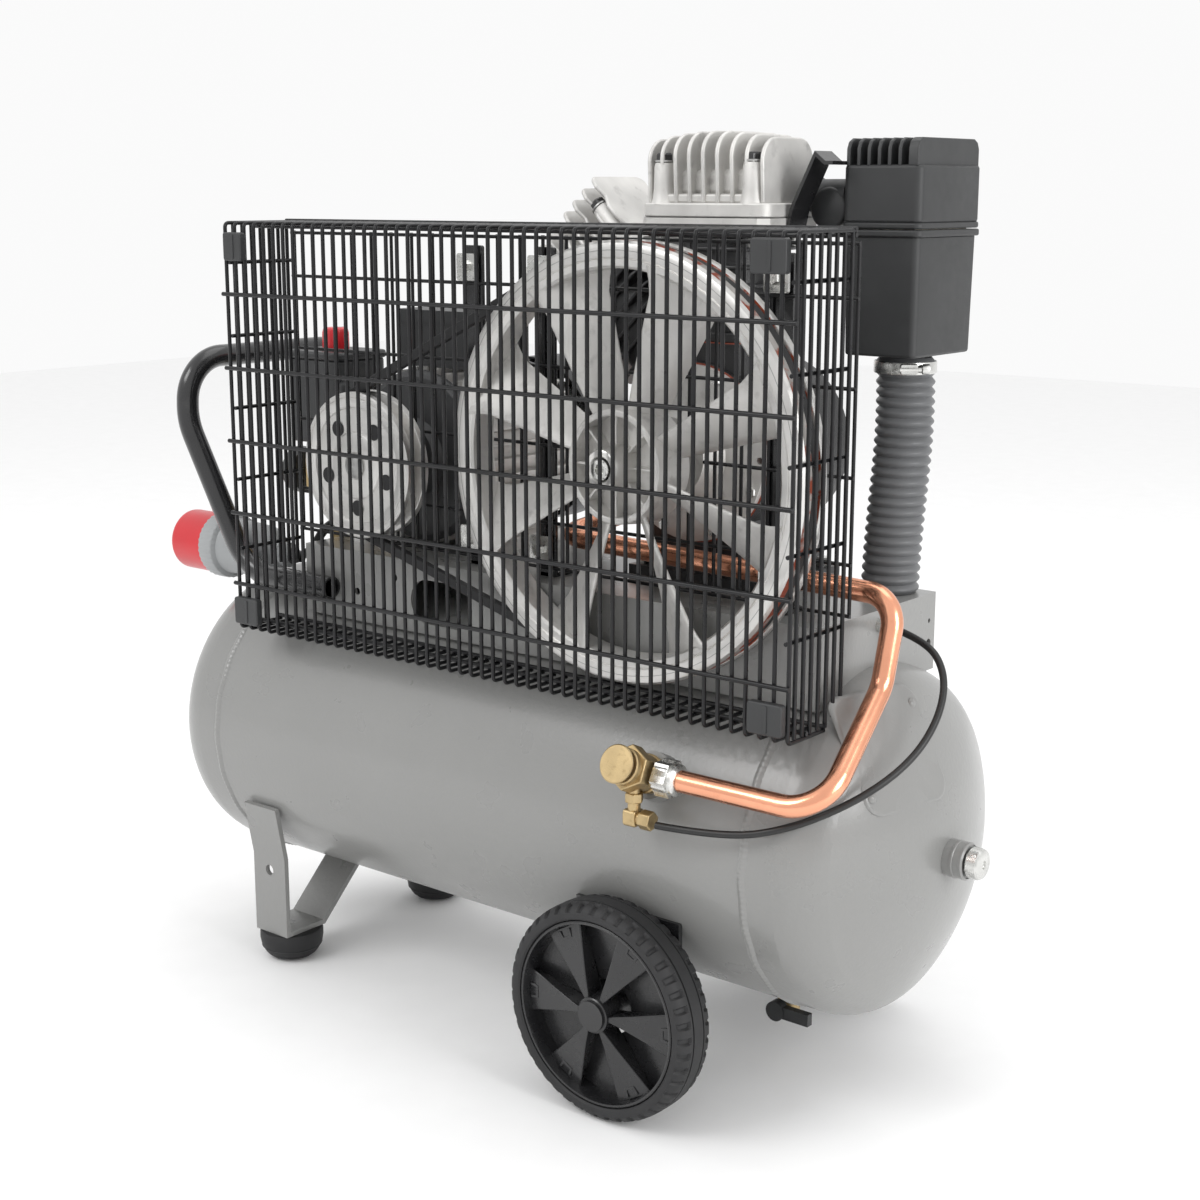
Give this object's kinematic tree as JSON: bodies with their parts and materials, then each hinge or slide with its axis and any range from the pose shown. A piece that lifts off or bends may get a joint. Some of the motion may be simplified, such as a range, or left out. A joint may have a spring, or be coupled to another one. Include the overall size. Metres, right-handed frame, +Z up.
{
  "type": "air compressor",
  "caption": "Wheeled belt-driven piston air compressor: finned twin-cylinder pump, motor and guarded fan flywheel on a horizontal receiver with push handle.",
  "frame": {"origin": "on the floor, under the middle of the machine, in the receiver's centre plane", "axes": "+X along the receiver from the feet to the wheels, +Y from the belt guard to the motor's fan, +Z up"},
  "size_m": [0.9027, 0.3927, 0.817],
  "materials": {
    "grey_paint": "satin light grey powder coat",
    "zinc_steel": "bright zinc",
    "rubber_black": "matt black",
    "tyre_black": "matt black",
    "plastic_black": "fine textured black",
    "black_paint": "glossy black powder coat",
    "cast_alloy": "as cast, machined faces brighter",
    "black_iron": "black paint on rough casting",
    "sight_glass": "clear",
    "filter_paper": "pleated paper",
    "grey_pvc": "semi-matt grey",
    "copper": "polished copper",
    "brass": "raw brass",
    "red_plastic": "red, semi-gloss"
  },
  "bodies": {
    "frame": {"air_filter_body": "plastic_black", "air_filter_lid": "plastic_black", "ball_bearings": "zinc_steel", "cee_collar": "red_plastic", "cee_plug": "grey_pvc", "check_valve": "brass", "crankcase": "black_iron", "crankcase_cover": "cast_alloy", "cylinder_tilted": "black_iron", "cylinder_upright": "black_iron", "delivery_pipe": "copper", "drain_cock": "brass", "drive_belt": "rubber_black", "filter_element": "filter_paper", "filter_strap": "black_paint", "foot_brackets": "grey_paint", "gauge_case": "plastic_black", "guard_basket": "black_paint", "guard_fixings": "black_paint", "guard_rear_panel": "black_paint", "head_bolts": "zinc_steel", "head_tilted": "cast_alloy", "head_upright": "cast_alloy", "hose_clamp": "zinc_steel", "intake_elbow": "plastic_black", "intake_hose": "grey_pvc", "motor_end_shields": "cast_alloy", "motor_fan_cowl": "plastic_black", "motor_housing": "cast_alloy", "motor_stator": "black_iron", "motor_terminal_box": "plastic_black", "oil_sight_glass": "sight_glass", "outlet_manifold": "brass", "pipe_fittings": "zinc_steel", "pistons_and_rods": "cast_alloy", "platform": "grey_paint", "power_cord": "rubber_black", "pressure_switch": "plastic_black", "push_handle": "black_paint", "rubber_feet": "rubber_black", "tank_bosses": "grey_paint", "tank_heads": "grey_paint", "tank_plug": "zinc_steel", "tank_shell": "grey_paint", "unloader_hose": "rubber_black", "valve_plates": "cast_alloy", "wheel_brackets": "black_paint"},
    "wheel_front": {"tyre_front": "tyre_black", "rim_front": "plastic_black"},
    "wheel_rear": {"tyre_rear": "tyre_black", "rim_rear": "plastic_black"},
    "flywheel_shaft": {"flywheel": "cast_alloy", "flywheel_bolt": "zinc_steel", "crankshaft": "zinc_steel"},
    "motor_shaft": {"motor_rotor": "zinc_steel", "motor_pulley": "cast_alloy"},
    "start_knob": {"switch_knob": "red_plastic"},
    "pressure_knob": {"regulator_knob": "plastic_black"},
    "needle": {"gauge_needle": "zinc_steel"},
    "drain_handle": {"drain_lever": "plastic_black"}
  },
  "joints": [
    {"name": "wheel_front_spin", "type": "hinge", "parent": "frame", "child": "wheel_front", "pos_m": [0.1815, -0.167, 0.095], "axis": [0, 1, 0], "continuous": true},
    {"name": "wheel_rear_spin", "type": "hinge", "parent": "frame", "child": "wheel_rear", "pos_m": [0.1815, 0.167, 0.095], "axis": [0, 1, 0], "continuous": true},
    {"name": "flywheel_spin", "type": "hinge", "parent": "frame", "child": "flywheel_shaft", "pos_m": [0.1545, -0.104, 0.546], "axis": [0, 1, 0], "continuous": true},
    {"name": "motor_spin", "type": "hinge", "parent": "frame", "child": "motor_shaft", "pos_m": [-0.158, -0.104, 0.518], "axis": [0, 1, 0], "continuous": true},
    {"name": "switch_turn", "type": "hinge", "parent": "frame", "child": "start_knob", "pos_m": [-0.305, 0, 0.6103], "axis": [0, 0, 1], "range_deg": [0, 90]},
    {"name": "regulator_turn", "type": "hinge", "parent": "frame", "child": "pressure_knob", "pos_m": [-0.305, 0.0603, 0.483], "axis": [0, 1, 0], "range_deg": [0, 720]},
    {"name": "needle_swing", "type": "hinge", "parent": "frame", "child": "needle", "pos_m": [-0.361, 0, 0.483], "axis": [1, 0, 0], "range_deg": [0, 270]},
    {"name": "drain_turn", "type": "hinge", "parent": "frame", "child": "drain_handle", "pos_m": [0.254, -0.0143, 0.061], "axis": [0, 1, 0], "range_deg": [0, 90]}
  ],
  "couplings": [
    {"joint": "motor_spin", "follows": "flywheel_spin", "ratio": 2.757}
  ]
}
